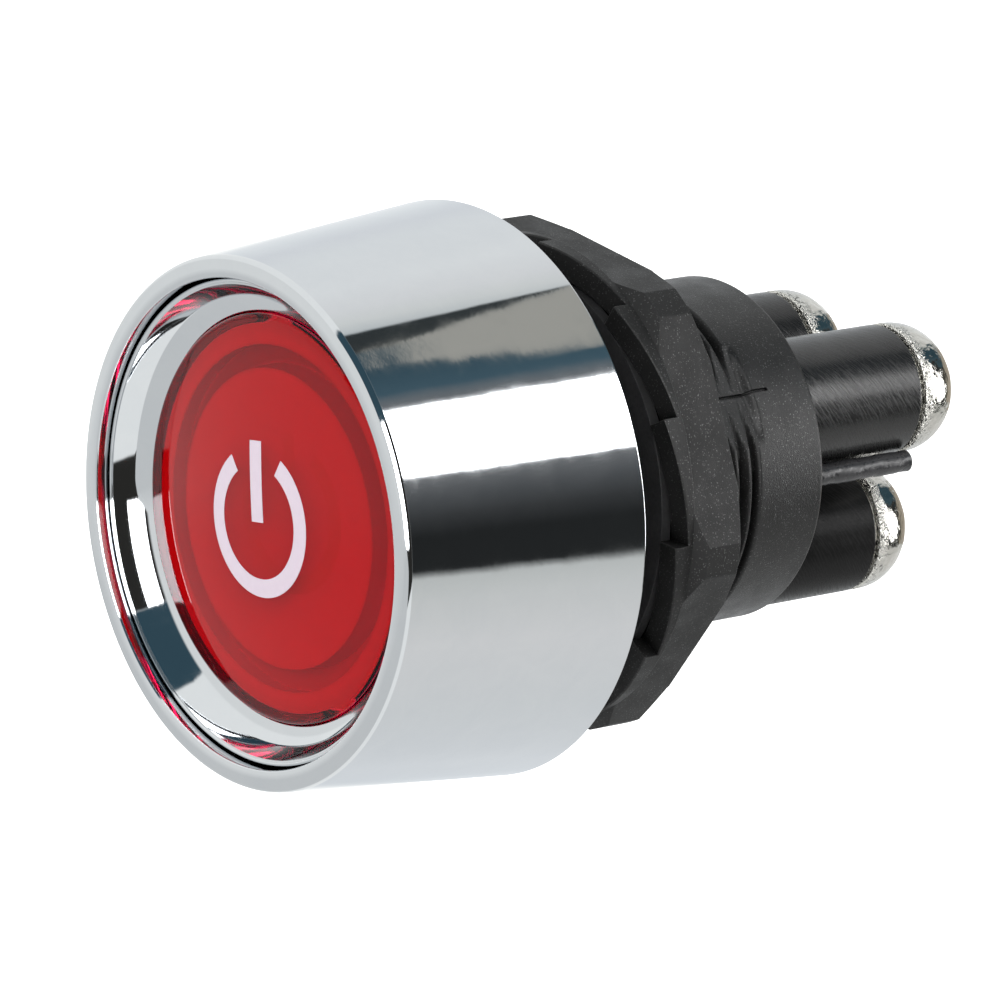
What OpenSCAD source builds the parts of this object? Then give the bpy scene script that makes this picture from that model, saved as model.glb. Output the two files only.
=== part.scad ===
// Panel push button, 22 mm hole, illuminated, momentary.
// Axis along Y: the lens faces -Y, the terminals +Y. The origin is on the axis,
// in the plane where the bezel seats on the panel. Millimetres.

/* [Bezel] */
// Diameter of the bezel where it meets the panel
bezel_rear_d = 36; // [34:0.5:40]
// Diameter of the bezel at its front rim
bezel_front_d = 32.9; // [32.6:0.1:33.6]
// How far the bezel stands in front of the panel
bezel_length = 17; // [16.5:0.5:19]
// Bore that the button moves in
bezel_bore_d = 30.2; // [30:0.1:30.6]

/* [Barrel] */
// Outside diameter of the threaded barrel
barrel_d = 21.84; // [21.6:0.04:22]
// Thread pitch
pitch = 1; // [1:0.25:1.5]
// Where the thread ends, measured from the panel face
thread_end = 15.2; // [14.7:0.5:16.2]
// Length of the barrel behind the panel face
barrel_length = 20.16; // [19.7:0.02:22]

/* [Button] */
// Outside diameter of the chrome collar, just inside the bezel's bore
collar_d = 29.76; // [29.7:0.02:29.9]
// Diameter of the lens
lens_d = 25.4; // [25:0.1:25.6]
// How far the button travels when it is pressed
travel = 2.5; // [1.5:0.1:2.5]

/* [Mounting nut] */
// Width across the nut's flats
nut_across_flats = 29; // [28.5:0.5:30]
// Diameter over the nut's turned corners
nut_corner_d = 32.4; // [32:0.2:33]
// Front of the nut's teeth, behind the panel face, as it is shown
nut_front = 4.6; // [2:0.1:5]
// Length of the nut
nut_length = 5.2; // [5:0.1:6]
// Number of locking teeth
nut_teeth = 12; // [8:1:16]

/* [Terminals] */
// Diameter of a terminal post
post_d = 8.32; // [7.6:0.02:8.32]
// Rear end of the terminal posts, behind the panel face
post_end = 29.85; // [28:0.05:32]
// Height of a domed terminal screw head
dome_h = 4.15; // [3:0.05:4.4]

/* [Hidden] */
$fn = 96;
eps = 0.02;              // clearance between pieces that sit on each other
fit = 0.05;              // radial clearance of pieces that are fixed together

// terminal posts and lead: angle in the XZ plane from +X towards +Z, and distance from the axis
at_a = [28.35, 6.02];
at_b = [140.7, 6.71];
at_c = [-87.8, 6.48];
at_lead = [-11.45, 7.75];

// bezel and barrel
web_t = 3.2;             // wall across the back of the bezel
rim_round = 0.4;
barrel_r = barrel_d / 2;
neck_r = barrel_r - 0.02;
thread_depth = 0.55;
thread_start = 1.2;
flat_angle = 26.5;       // flats on the thread, where the mould parts
chamber_r = 9.2;         // contact chamber inside the barrel
base_r = 9.4;            // seat of the terminal base
base_front = 14;
base_rear = barrel_length;
flange_r = 14.2;         // flange that holds the barrel in the bezel
flange_front = -6;
board_seat = -4.4;
wall_front = 2.6;        // wall that guides the stem
wall_rear = 4.6;
well_r = 4.6;            // well of the return spring

// button
stem_r = 2.65;
neck_stem_r = 1.6;
stem_shoulder = 5;
stem_end = 9.4;
pin_offset = 12;         // guide pins of the carrier, in holes of the flange
button_rear = -8.7;      // rear of the collar and of the carrier ring
carrier_front = -10.7;
// arcs of the collar's hollow face from the lens outwards: radius, slope at start and end,
// where 180 faces the front and 90 faces the axis
dish_arcs = [[3.38, 163, 145], [0.8, 145, 124], [6.37, 124, 112]];
lip_r = 0.13;
lens_edge = -14.14;      // where the lens meets the collar
lens_top = -15.75;
lens_back = -13.55;       // flat inner face of the lens
skirt_t = 0.7;
groove_in = 9.2;         // round groove in the diffuser
groove_out = 10.6;
groove_depth = 1.2;

// contacts
bridge_front = 6.85;
bridge_t = 0.8;
tip_t = 0.4;
contact_gap = 0.05;      // what is left between the contacts at full travel
fixed_top = bridge_front + bridge_t + tip_t + travel + contact_gap;
stud_r = 2.2;

// Turns a shape made along Z so that it lies along Y, rear end at +Y.
module along_y() { rotate([-90, 0, 0]) children(); }

// Turns a shape lying along Z to angle a of the XZ plane, inside along_y().
module at_angle(a) { rotate([0, 0, -a]) children(); }

// Moves a shape lying along Z out to place p = [angle, distance], inside along_y().
module at_place(p) { at_angle(p[0]) translate([p[1], 0, 0]) children(); }

// Tube along Z from z0 to z1.
module ring(r_out, r_in, z0, z1) {
    translate([0, 0, z0]) difference() {
        cylinder(r = r_out, h = z1 - z0);
        translate([0, 0, -1]) cylinder(r = r_in, h = z1 - z0 + 2);
    }
}

module rod(r, z0, z1) { translate([0, 0, z0]) cylinder(r = r, h = z1 - z0); }

// Points of an arc about (cr, cz), from angle a0 to a1, in n steps.
function arc(cr, cz, radius, a0, a1, n = 8) =
    [for (i = [0 : n]) let (a = a0 + (a1 - a0) * i / n) [cr + radius * cos(a), cz + radius * sin(a)]];

// Points of a helix of one radius, as a swept round wire.
function coil_ring(coil_r, wire_r, turns, z0, z1, t, sides) =
    let (a = 360 * turns * t, z = z0 + (z1 - z0) * t)
    [for (i = [0 : sides - 1]) let (b = 360 * i / sides)
        [(coil_r + wire_r * cos(b)) * cos(a), (coil_r + wire_r * cos(b)) * sin(a), z + wire_r * sin(b)]];

module coil(coil_r, wire_r, turns, z0, z1, steps = 24, sides = 10) {
    n = ceil(turns * steps);
    points = [for (k = [0 : n]) each coil_ring(coil_r, wire_r, turns, z0 + wire_r, z1 - wire_r, k / n, sides)];
    sweep = [for (k = [0 : n - 1], i = [0 : sides - 1]) let (j = (i + 1) % sides)
        [k * sides + i, (k + 1) * sides + i, (k + 1) * sides + j, k * sides + j]];
    first_cap = [for (i = [0 : sides - 1]) i];
    last_cap = [for (i = [sides - 1 : -1 : 0]) n * sides + i];
    polyhedron(points, concat(sweep, [first_cap, last_cap]), convexity = 10);
}

module bezel() {
    rear_r = bezel_rear_d / 2;
    front_r = bezel_front_d / 2;
    bore_r = bezel_bore_d / 2;
    front = -bezel_length;
    color("gainsboro") along_y() rotate_extrude() polygon(concat(
        [[barrel_r + 0.08, -web_t], [barrel_r + 0.08, 0], [11.9, 0], [11.9, -1.2], [15, -1.2], [15, 0]],
        [[rear_r - 0.2, 0], [rear_r, -0.2]],
        arc(front_r - rim_round, front + rim_round, rim_round, 0, -90, 6),
        arc(bore_r + 0.15, front + 0.15, 0.15, -90, -180, 3),
        [[bore_r, -web_t]]));
}

module panel_gasket() {
    color("dimgray") along_y() ring(15 - fit, 11.9 + fit, -1.2 + eps, 0);
}

// Outline of half the barrel with its thread, from the panel face to the rear.
function thread_outline() = [for (i = [0 : floor((thread_end - thread_start) / pitch) - 1])
    let (z = thread_start + i * pitch)
    each [[barrel_r, z], [barrel_r - thread_depth, z + 0.45 * pitch], [barrel_r - thread_depth, z + 0.55 * pitch],
        [barrel_r, z + 0.94 * pitch]]];

module barrel_solid() {
    rotate_extrude() polygon(concat(
        [[0, flange_front], [flange_r, flange_front], [flange_r, -web_t - eps], [neck_r, -web_t - eps]],
        [[neck_r, thread_start - 0.3], [barrel_r, thread_start]],
        thread_outline(),
        [[barrel_r, thread_end], [barrel_r, barrel_length - 0.25], [barrel_r - 0.25, barrel_length]],
        [[0, barrel_length]]));
}

module housing() {
    flat_r = barrel_r - thread_depth;
    color("#3b3b3d") along_y() difference() {
        barrel_solid();
        rod(well_r, flange_front - 1, wall_front);
        rod(stem_r + 0.1, wall_front - 1, wall_rear + 1);
        rod(chamber_r, wall_rear, base_front);
        rod(base_r, base_front - fit, barrel_length + 1);
        rod(11.15, flange_front - 1, board_seat);
        for (side = [0, 180]) at_angle(flat_angle + side) {
            translate([flat_r, -5, thread_start - 0.3]) cube([2, 10, thread_end - thread_start + 0.3]);
            translate([flat_r - 0.15, -0.08, thread_start]) cube([2, 0.16, thread_end - thread_start + 1.6]);
        }
        for (a = [0, 180]) at_place([a, pin_offset]) rod(0.7, flange_front - 1, -web_t + 1);
        at_place(at_lead) rod(0.85, board_seat - 1, wall_rear + 1);
        at_place(at_c) rod(0.7, board_seat - 1, wall_rear + 1);
    }
}

module terminal_base() {
    color("#2f2f31") along_y() difference() {
        union() {
            rod(base_r - fit, base_front, base_rear - 0.3);
            rod(base_r - 0.3, base_rear - 0.6, base_rear);
        }
        for (p = [at_a, at_b, at_c]) at_place(p) rod(stud_r + fit, base_front - 1, base_rear + 1);
        at_place(at_lead) rod(0.78, base_front - 1, base_rear + 1);
    }
}

module led_board() {
    color("seagreen") along_y() difference() {
        ring(11, 5.2, board_seat - 1, board_seat - eps);
        for (p = [at_lead, at_c]) at_place(p) rod(0.4, board_seat - 2, board_seat + 1);
    }
}

module led_chips() {
    color("mistyrose") along_y() for (a = [45, 135, 225, 315]) at_place([a, 8.8])
        translate([-1.4, -1.75, board_seat - 1.7]) cube([2.8, 3.5, 0.68]);
}

module board_resistors() {
    color("#202020") along_y() for (a = [80, 180]) at_place([a, 8.2])
        translate([-0.62, -1, board_seat - 1.5]) cube([1.25, 2, 0.48]);
}

module lamp_lead() {
    color("#262626") along_y() at_place(at_lead) union() {
        rod(0.73, board_seat + eps, post_end);
        rod(0.35, board_seat - 1.3, board_seat + 1);
    }
}

module lamp_feed() {
    color("goldenrod") along_y() at_place(at_c) union() {
        rod(0.5, board_seat + eps, 12.6 - eps);
        rod(0.35, board_seat - 1.3, board_seat + 1);
    }
}

// Brass stud: a head in the contact chamber, a shank tapped for the terminal screw.
module stud(top) {
    difference() {
        union() {
            rod(2.4, top, base_front - eps);
            rod(stud_r, base_front - 1, post_end - 0.2);
        }
        rod(1.65, 21, post_end + 1);
    }
}

module contact_stud_a() { color("goldenrod") along_y() at_place(at_a) stud(fixed_top + tip_t); }
module contact_stud_b() { color("goldenrod") along_y() at_place(at_b) stud(fixed_top + tip_t); }
module lamp_stud() { color("goldenrod") along_y() at_place(at_c) stud(12.6); }

module fixed_contacts() {
    color("silver") along_y() for (p = [at_a, at_b]) at_place(p)
        rod(1.6, fixed_top, fixed_top + tip_t - eps);
}

// Black insulating post round a stud.
module post() {
    round_r = 0.2;
    difference() {
        rotate_extrude() polygon(concat(
            [[0, base_rear + eps]], [[post_d / 2, base_rear + eps]],
            arc(post_d / 2 - round_r, post_end - round_r, round_r, 0, 90, 4),
            [[0, post_end]]));
        rod(stud_r + fit, base_rear - 1, post_end + 1);
    }
}

module post_a() { color("#222224") along_y() at_place(at_a) post(); }
module post_b() { color("#222224") along_y() at_place(at_b) post(); }
module post_c() { color("#222224") along_y() at_place(at_c) post(); }

module return_spring() {
    color("silver") along_y() coil(3.6, 0.3, 6, button_rear + eps, wall_front - eps);
}

// Points of one arc [radius, start slope, end slope] of a hollow face, from point p.
function hollow(p, d, n = 5) = [for (i = [0 : n]) let (a = d[1] + (d[2] - d[1]) * i / n)
    p + d[0] * [sin(a) - sin(d[1]), cos(d[1]) - cos(a)]];

// Chrome collar: a ring whose hollow face falls from a rounded lip to the lens's edge.
module collar() {
    r_out = collar_d / 2;
    r_in = lens_d / 2 + fit;
    ledge = 0.1;
    near = hollow([r_in + ledge, lens_edge - ledge], dish_arcs[0]);
    bend = hollow(near[5], dish_arcs[1]);
    far = hollow(bend[5], dish_arcs[2]);
    lip_slope = dish_arcs[2][2];
    lip = arc(r_out - lip_r, far[5][1] - lip_r * cos(lip_slope), lip_r, lip_slope - 250, 0, 8);
    color("gainsboro") along_y() rotate_extrude() polygon(concat(
        [[r_out, button_rear], [r_in, button_rear], [r_in, lens_edge]], near,
        [bend[1], bend[2], bend[3], bend[4]], far, lip));
}

// Red lens: a shallow dome on a short skirt, hollow behind.
module lens() {
    r = lens_d / 2;
    edge_r = 0.6;
    rise = lens_edge - edge_r - lens_top;
    dome_r = (pow(r - edge_r, 2) + rise * rise) / (2 * rise);
    dome_end = asin((r - edge_r) / dome_r);
    dome = [for (i = [0 : 20]) let (a = dome_end * i / 20)
        [dome_r * sin(a), lens_top + dome_r * (1 - cos(a))]];
    color("crimson", 0.8) along_y() rotate_extrude() polygon(concat(
        dome,
        arc(r - edge_r, lens_edge, edge_r, -75, 0, 5),
        [[r, carrier_front - eps]],
        [[r - skirt_t, carrier_front - eps], [r - skirt_t, lens_back], [0, lens_back]]));
}

// Milky disc behind the lens, with a round groove that shows as a dark ring.
module diffuser() {
    front = lens_back + eps;
    color("mistyrose") along_y() difference() {
        rod(lens_d / 2 - skirt_t - fit, front, carrier_front - eps);
        ring(groove_out, groove_in, front - 1, front + groove_depth);
    }
}

// Carrier: a spoked ring under the diffuser, and the stem that works the contacts.
module carrier() {
    color("ivory") along_y() union() {
        ring(lens_d / 2, 11, carrier_front, button_rear);
        rod(4.4, carrier_front, button_rear);
        for (a = [0, 90]) rotate([0, 0, a])
            translate([-11.5, -1.5, carrier_front]) cube([23, 3, button_rear - carrier_front]);
        difference() {
            union() {
                rod(stem_r, button_rear - 1, stem_shoulder);
                rod(neck_stem_r, stem_shoulder - 1, stem_end);
            }
            ring(neck_stem_r + 1, 1.2, bridge_front + bridge_t + eps, bridge_front + bridge_t + 0.58);
        }
        for (a = [0, 180]) at_place([a, pin_offset]) rod(0.6, button_rear - 1, flange_front + 0.2);
    }
}

// Copper bridge: two arms from the stem to the two contact studs.
module contact_bridge() {
    color("peru") along_y() difference() {
        union() {
            rod(3.4, bridge_front, bridge_front + bridge_t);
            for (p = [at_a, at_b]) {
                at_angle(p[0]) translate([0, -1.9, bridge_front]) cube([p[1], 3.8, bridge_t]);
                at_place(p) rod(1.9, bridge_front, bridge_front + bridge_t);
            }
        }
        rod(neck_stem_r + 0.08, bridge_front - 1, bridge_front + 2);
    }
}

module bridge_contacts() {
    color("silver") along_y() for (p = [at_a, at_b]) at_place(p)
        rod(1.6, bridge_front + bridge_t + eps, bridge_front + bridge_t + tip_t);
}

module contact_spring() {
    color("silver") along_y() coil(2.2, 0.22, 2.5, stem_shoulder + eps, bridge_front - eps);
}

module bridge_clip() {
    top = bridge_front + bridge_t + 2 * eps;
    color("silver") along_y() difference() {
        ring(2.9, 1.25, top, top + 0.5);
        translate([0, -1.1, top - 1]) cube([4, 2.2, 3]);
    }
}

module lock_washer() {
    color("#3a3a3c") along_y() ring(13.6, 11.3, nut_front + 0.25, nut_front + 0.95);
}

// One tooth's run-out: the wedge between its flat ramp and the front plane.
module tooth_cut() {
    tooth_angle = 360 / nut_teeth;
    tooth_h = 1;
    run = 14.6 * sin(tooth_angle);
    intersection() {
        rotate([90, 0, 90]) linear_extrude(height = 22)
            polygon([[-2, nut_front - 2 * tooth_h / run], [-2, nut_front - 3], [2 * run, nut_front - 3],
                [2 * run, nut_front + 2 * tooth_h]]);
        translate([0, 0, nut_front - 2]) linear_extrude(height = 6)
            polygon([[0, 0], [25, 0], [25 * cos(tooth_angle), 25 * sin(tooth_angle)]]);
    }
}

module mounting_nut() {
    corner_r = nut_corner_d / 2;
    rear = nut_front + nut_length;
    face = nut_front + 1;
    tooth_r = 15.35;
    first_tooth = 18.5;
    color("#444446") along_y() difference() {
        union() {
            intersection() {
                rotate([0, 0, 15]) translate([0, 0, face - 1])
                    cylinder(r = nut_across_flats / 2 / cos(30), h = nut_length, $fn = 6);
                rotate_extrude() polygon([[10, face + 0.1], [15, face + 0.1], [corner_r, face + 1],
                    [corner_r, rear - 0.7], [15, rear], [10, rear]]);
            }
            ring(tooth_r, 10, nut_front, face + 0.6);
        }
        for (k = [0 : nut_teeth - 1]) rotate([0, 0, -first_tooth + 360 / nut_teeth * k]) tooth_cut();
        rod(13.8, nut_front - 1, face);
        rod(barrel_r + 0.1, nut_front - 1, rear + 1);
    }
}

module clamp_washer() { ring(post_d / 2 - 0.1, 1.65, post_end + eps, post_end + 0.4); }
module clamp_washer_a() { color("silver") along_y() at_place(at_a) clamp_washer(); }
module clamp_washer_b() { color("silver") along_y() at_place(at_b) clamp_washer(); }
module clamp_washer_c() { color("silver") along_y() at_place(at_c) clamp_washer(); }

// Domed cross-head terminal screw.
module terminal_screw() {
    seat = post_end + 0.4 + eps;
    head_r = post_d / 2;
    side_h = 0.6;
    dome = [for (i = [0 : 14]) let (a = 90 * i / 14)
        [head_r * cos(a), seat + side_h + (dome_h - side_h) * sin(a)]];
    difference() {
        union() {
            rotate_extrude() polygon(concat([[0, seat], [head_r - 0.15, seat], [head_r, seat + 0.15]], dome));
            rod(1.55, 22.4, seat + 0.5);
        }
        for (a = [0, 90]) rotate([0, 0, a + 45])
            translate([-1.9, -0.45, seat + dome_h - 1.5]) cube([3.8, 0.9, 3]);
    }
}

module terminal_screw_a() { color("silver") along_y() at_place(at_a) terminal_screw(); }
module terminal_screw_b() { color("silver") along_y() at_place(at_b) terminal_screw(); }
module terminal_screw_c() { color("silver") along_y() at_place(at_c) terminal_screw(); }

bezel();
panel_gasket();
housing();
terminal_base();
led_board();
led_chips();
board_resistors();
lamp_lead();
lamp_feed();
contact_stud_a();
contact_stud_b();
lamp_stud();
fixed_contacts();
post_a();
post_b();
post_c();
return_spring();
collar();
lens();
diffuser();
carrier();
contact_bridge();
bridge_contacts();
contact_spring();
bridge_clip();
lock_washer();
mounting_nut();
clamp_washer_a();
clamp_washer_b();
clamp_washer_c();
terminal_screw_a();
terminal_screw_b();
terminal_screw_c();
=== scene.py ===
"""Looks for an illuminated panel push button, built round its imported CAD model.

The button's axis lies along Y: the lens faces -Y and the terminals +Y. Shapes are worked out in
millimetres and written to the meshes in metres.
"""

import math

import bmesh
import bpy
import numpy as np
from mathutils import Matrix, Vector


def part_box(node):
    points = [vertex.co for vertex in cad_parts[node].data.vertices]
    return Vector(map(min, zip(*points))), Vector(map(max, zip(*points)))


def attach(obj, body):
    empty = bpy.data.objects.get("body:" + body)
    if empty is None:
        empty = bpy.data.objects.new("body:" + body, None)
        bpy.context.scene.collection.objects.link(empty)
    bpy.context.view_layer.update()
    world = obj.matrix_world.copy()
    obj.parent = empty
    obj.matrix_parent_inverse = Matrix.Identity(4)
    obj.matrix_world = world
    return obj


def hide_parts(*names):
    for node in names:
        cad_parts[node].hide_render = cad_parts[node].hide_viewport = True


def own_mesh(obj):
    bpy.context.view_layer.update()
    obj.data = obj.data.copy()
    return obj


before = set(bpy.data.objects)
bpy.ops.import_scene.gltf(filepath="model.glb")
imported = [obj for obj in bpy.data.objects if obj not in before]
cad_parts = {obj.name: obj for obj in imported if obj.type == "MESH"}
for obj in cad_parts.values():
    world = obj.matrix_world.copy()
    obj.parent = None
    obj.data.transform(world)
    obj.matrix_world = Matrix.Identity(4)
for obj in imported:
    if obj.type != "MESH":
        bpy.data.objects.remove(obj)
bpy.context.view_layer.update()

MM = 0.001
TAU = 2 * math.pi


# ---------------------------------------------------------------- sizes, in millimetres


def box_mm(node):
    """Lowest and highest corners of a CAD node, in millimetres."""
    low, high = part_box(node)
    return low / MM, high / MM


BEZEL_LOW, BEZEL_HIGH = box_mm("bezel")
BEZEL_R = BEZEL_HIGH.z
BEZEL_FRONT = BEZEL_LOW.y
BEZEL_RIM_R = 16.45
BEZEL_BORE_R = 15.08
BEZEL_WEB = 3.2
GASKET_IN, GASKET_OUT, GASKET_DEPTH = 11.9, 15.0, 1.2
HOUSING_LOW, HOUSING_HIGH = box_mm("housing")
FLANGE_R, FLANGE_FRONT = 14.2, HOUSING_LOW.y
BOARD_POCKET_R, BOARD_SEAT = 11.15, -4.4
SPRING_WELL_R, WALL_FRONT, WALL_REAR = 4.6, 2.6, 4.6
STEM_BORE_R = 2.75
CHAMBER_R = 9.2
BASE_SEAT_R, BASE_FRONT = 9.42, 13.95
BARREL_R = 10.92
BARREL_END = HOUSING_HIGH.y
THREAD_START = 1.2
THREAD_END = 15.2
THREAD_DEPTH = 0.55
PITCH = 1.0
FLAT_ANGLE = 26.5
COLLAR_HIGH = box_mm("collar")[1]
COLLAR_R = COLLAR_HIGH.z + 0.08
COLLAR_LEDGE = 0.1
COLLAR_LIP_R = 0.13
COLLAR_ARCS = ((3.38, 163, 145), (0.8, 145, 124), (6.37, 124, 112))
LENS_LOW, LENS_HIGH = box_mm("lens")
LENS_R = LENS_HIGH.z
LENS_TOP = LENS_LOW.y
LENS_EDGE = -14.14
LENS_BACK = -13.55
LENS_ROUND = 0.6
LENS_SKIRT = 0.7
GROOVE_IN, GROOVE_OUT = 9.2, 10.6
MARK_R, MARK_STROKE, MARK_FILM = 4.1, 1.15, 0.02
NUT_LOW, NUT_HIGH = box_mm("mounting_nut")
NUT_CORNER_R = 16.2
NUT_APOTHEM = 14.5
NUT_TEETH = 12
TOOTH_RING_R = 15.35
TOOTH_INNER_R = 13.8
TOOTH_HEIGHT = 1.0
TERMINALS = ("a", "b", "c")
# post c's low shine is painted shade, where post a and the lead shade it from the soft box
POST_SHINE_AND_SHADE = {"a": 0.4, "b": 0.3, "c": 0.06}
POST_BORE_R = 2.25
WASHER_BORE_R = 1.65
SHANK_R = 1.55
LEAD_R, LEAD_CORE_R = 0.73, 0.33
DOME_SIDE = 0.6
DOME_SEAT = box_mm("clamp_washer_a")[1].y + 0.02


def centre_mm(node):
    """Where a node's own axis crosses the XZ plane, in millimetres."""
    low, high = box_mm(node)
    return (low.x + high.x) / 2, (low.z + high.z) / 2


# ---------------------------------------------------------------- mesh helpers


def add_mesh(name, points, faces, body, finish, stands_for=(), sharp=35):
    """Makes a piece from points in millimetres, cleans its mesh and rides it on a body."""
    mesh = bpy.data.meshes.new(name)
    mesh.from_pydata((np.asarray(points, float) * MM).tolist(), [], faces)
    work = bmesh.new()
    work.from_mesh(mesh)
    bmesh.ops.remove_doubles(work, verts=work.verts, dist=1e-7)
    bmesh.ops.recalc_face_normals(work, faces=work.faces)
    work.to_mesh(mesh)
    work.free()
    mesh.polygons.foreach_set("use_smooth", [True] * len(mesh.polygons))
    mesh.set_sharp_from_angle(angle=math.radians(sharp))
    piece = bpy.data.objects.new(name, mesh)
    bpy.context.scene.collection.objects.link(piece)
    mesh.materials.append(finish)
    even = piece.modifiers.new("even_normals", "WEIGHTED_NORMAL")
    even.keep_sharp = True
    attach(piece, body)
    if stands_for:
        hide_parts(*stands_for)
    return piece


def rounded(corners, closed=True, steps=6):
    """Points of an outline whose corners (r, y, fillet) are rounded with arcs."""
    points = []
    count = len(corners)
    for i, (r, y, fillet) in enumerate(corners):
        at_end = not closed and i in (0, count - 1)
        if fillet <= 0 or at_end:
            points.append((r, y))
            continue
        here = Vector((r, y))
        back = (Vector(corners[i - 1][:2]) - here).normalized()
        ahead = (Vector(corners[(i + 1) % count][:2]) - here).normalized()
        half = back.angle(ahead) / 2
        reach = fillet / math.tan(half)
        centre = here + (back + ahead).normalized() * (fillet / math.sin(half))
        first = here + back * reach - centre
        last = here + ahead * reach - centre
        start = math.atan2(first.y, first.x)
        turn = (math.atan2(last.y, last.x) - start + math.pi) % TAU - math.pi
        for k in range(steps + 1):
            angle = start + turn * k / steps
            points.append((centre.x + fillet * math.cos(angle), centre.y + fillet * math.sin(angle)))
    return points


def arc(centre, radius, start, end, steps):
    """Points (r, y) on an arc; an angle of 90 faces the axis, 180 the front and 270 outwards."""
    points = []
    for i in range(steps + 1):
        a = math.radians(start + (end - start) * i / steps)
        points.append((centre[0] - radius * math.sin(a), centre[1] + radius * math.cos(a)))
    return points


def revolve(outline, segments=192, centre=(0.0, 0.0), closed=True):
    """Points and faces of an outline of (r, y) turned about a line along Y through centre."""
    points, rings = [], []
    for r, y in outline:
        if r < 1e-6:
            rings.append([len(points)] * segments)
            points.append((centre[0], y, centre[1]))
            continue
        rings.append(list(range(len(points), len(points) + segments)))
        for k in range(segments):
            angle = TAU * k / segments
            points.append((centre[0] + r * math.cos(angle), y, centre[1] + r * math.sin(angle)))
    faces = []
    last = len(rings) if closed else len(rings) - 1
    for i in range(last):
        ring, following = rings[i], rings[(i + 1) % len(rings)]
        for k in range(segments):
            m = (k + 1) % segments
            corners = [ring[k], ring[m], following[m], following[k]]
            unique = list(dict.fromkeys(corners))
            if len(unique) > 2:
                faces.append(unique)
    return points, faces


def wrap_grid(grid):
    """Points and faces of a grid of points that closes on itself both ways, like a ring's skin."""
    columns, rows = grid.shape[:2]
    index = np.arange(columns * rows).reshape(columns, rows)
    right = np.roll(index, -1, axis=0)
    up = np.roll(index, -1, axis=1)
    both = np.roll(right, -1, axis=1)
    faces = np.stack([index, right, both, up], axis=-1).reshape(-1, 4)
    return grid.reshape(-1, 3), faces.tolist()


def polar(angle, radius, y):
    """Points at angles (radians, from +X towards +Z), radii and places along the axis."""
    angle, radius, y = np.broadcast_arrays(angle, radius, y)
    return np.stack([radius * np.cos(angle), y, radius * np.sin(angle)], axis=-1)


def smooth_step(low, high, value):
    """0 below low, 1 above high, and smooth between them."""
    t = np.clip((value - low) / (high - low), 0, 1)
    return t * t * (3 - 2 * t)


def sweep(path, radius, sides=14):
    """Points and faces of a round wire along a path of points, closed at both ends."""
    path = np.asarray(path, float)
    ahead = np.gradient(path, axis=0)
    ahead /= np.linalg.norm(ahead, axis=1)[:, None]
    normal = np.cross(ahead, (0.0, 1.0, 0.0))
    length = np.linalg.norm(normal, axis=1)[:, None]
    normal = np.where(length > 1e-6, normal / np.maximum(length, 1e-9), (1.0, 0.0, 0.0))
    side = np.cross(ahead, normal)
    radii = np.broadcast_to(radius, (len(path),))
    turn = TAU * np.arange(sides) / sides
    offset = (
        normal[:, None, :] * np.cos(turn)[None, :, None]
        + side[:, None, :] * np.sin(turn)[None, :, None]
    )
    points = (path[:, None, :] + offset * radii[:, None, None]).reshape(-1, 3)
    faces = []
    for i in range(len(path) - 1):
        for k in range(sides):
            m = (k + 1) % sides
            faces.append([i * sides + k, i * sides + m, (i + 1) * sides + m, (i + 1) * sides + k])
    faces.append(list(range(sides)))
    faces.append([(len(path) - 1) * sides + k for k in reversed(range(sides))])
    return points, faces


# ---------------------------------------------------------------- material helpers


class Nodes:
    """Short calls for building a node tree."""

    def __init__(self, tree):
        self.nodes = tree.nodes
        self.links = tree.links
        self.place = self.node("ShaderNodeTexCoord")
        scaled = self.node("ShaderNodeVectorMath", operation="SCALE")
        scaled.inputs["Scale"].default_value = 1 / MM
        self.link(self.place.outputs["Object"], scaled.inputs[0])
        self.mm = scaled.outputs[0]

    def node(self, kind, **settings):
        """A new node with its settings."""
        made = self.nodes.new(kind)
        for key, value in settings.items():
            setattr(made, key, value)
        return made

    def link(self, source, target):
        """Links an output to an input, or sets the input to a plain value."""
        if isinstance(source, (int, float, tuple)):
            target.default_value = source
        else:
            self.links.new(source, target)

    def math(self, operation, a, b=0.0, c=0.0):
        """The output of a math node."""
        made = self.node("ShaderNodeMath", operation=operation)
        for value, socket in zip((a, b, c), made.inputs):
            self.link(value, socket)
        return made.outputs[0]

    def both(self, a, b):
        """The product of two shares."""
        return self.math("MULTIPLY", a, b)

    def parts(self, vector):
        """The X, Y and Z of a vector."""
        made = self.node("ShaderNodeSeparateXYZ")
        self.link(vector, made.inputs[0])
        return made.outputs

    def noise(self, scale, detail=2.0, rough=0.5, where=None, distortion=0.0):
        """Noise with features about 1/scale millimetres across."""
        made = self.node("ShaderNodeTexNoise")
        made.inputs["Scale"].default_value = scale
        made.inputs["Detail"].default_value = detail
        made.inputs["Roughness"].default_value = rough
        made.inputs["Distortion"].default_value = distortion
        self.link(where or self.mm, made.inputs["Vector"])
        return made.outputs["Fac"]

    def remap(self, value, low, high, to_low, to_high, kind="SMOOTHSTEP"):
        """Value from low to high, mapped to another range and held inside it."""
        made = self.node("ShaderNodeMapRange", interpolation_type=kind)
        for source, socket in zip((value, low, high, to_low, to_high), made.inputs):
            self.link(source, socket)
        return made.outputs["Result"]

    def remap_line(self, value, low, high, to_low, to_high):
        """The same in a straight line."""
        return self.remap(value, low, high, to_low, to_high, kind="LINEAR")

    def band(self, value, low, high, soft):
        """1 between two places, 0 outside, with soft edges."""
        return self.both(
            self.remap(self.math("SUBTRACT", value, low), -soft, soft, 0.0, 1.0),
            self.remap(self.math("SUBTRACT", value, high), -soft, soft, 1.0, 0.0),
        )

    def mix(self, share, a, b):
        """Colour a where share is 0, b where it is 1."""
        made = self.node("ShaderNodeMix", data_type="RGBA")
        self.link(share, made.inputs[0])
        self.link(a, made.inputs[6])
        self.link(b, made.inputs[7])
        return made.outputs[2]


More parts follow.
